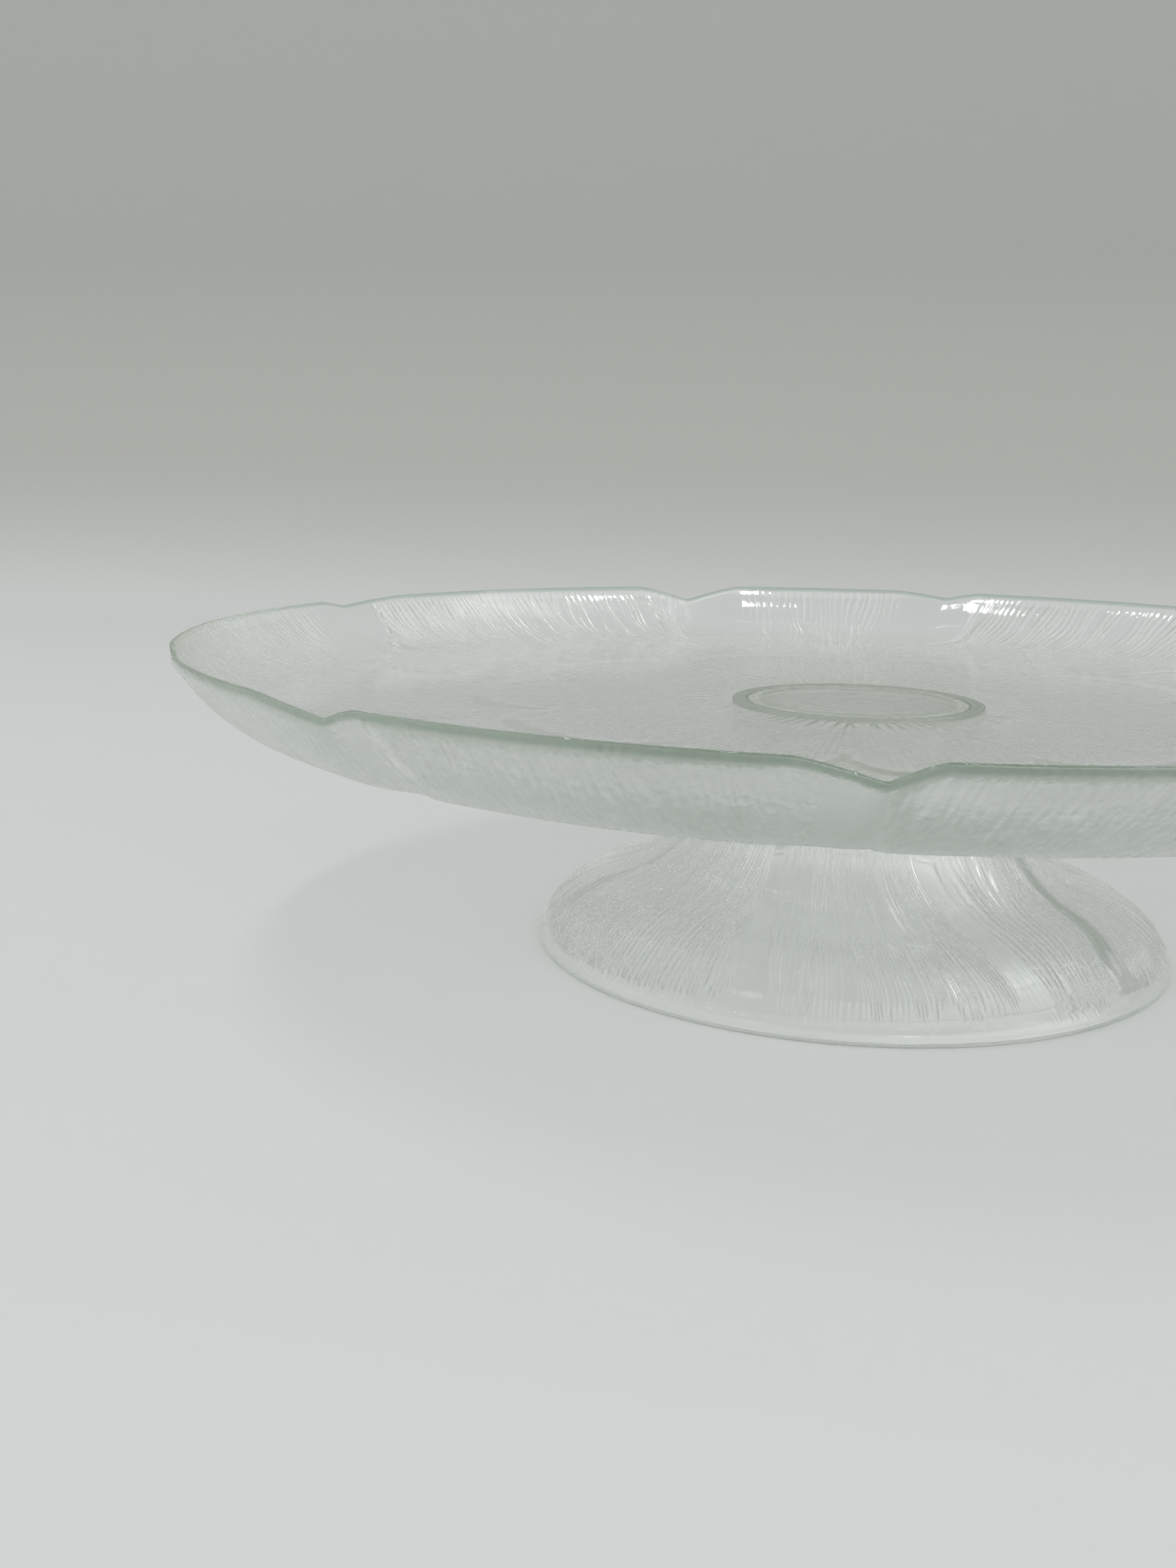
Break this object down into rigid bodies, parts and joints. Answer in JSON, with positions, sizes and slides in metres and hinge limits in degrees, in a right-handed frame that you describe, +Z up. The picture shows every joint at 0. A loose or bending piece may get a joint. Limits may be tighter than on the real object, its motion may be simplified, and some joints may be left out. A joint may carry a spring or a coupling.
{
  "type": "cake plate",
  "caption": "Clear pressed-glass cake plate with a low petal-notched rim, raised on a hollow bell-shaped foot bonded under its centre.",
  "frame": {"origin": "on the table, at the centre of the foot's base ring", "axes": "+Z up along the axis of the foot and the plate, -Y towards the side that the picture shows, +X to the right of that view"},
  "size_m": [0.33, 0.3297, 0.0764],
  "materials": {
    "plate_glass": "clear pressed glass, fire-polished, faint green at the edges",
    "foot_glass": "clear pressed glass, fire-polished, faint green at the edges",
    "clear_adhesive": "clear cured adhesive"
  },
  "bodies": {
    "root": {"plate": "plate_glass", "pedestal_foot": "foot_glass", "adhesive_ring": "clear_adhesive"}
  },
  "joints": []
}
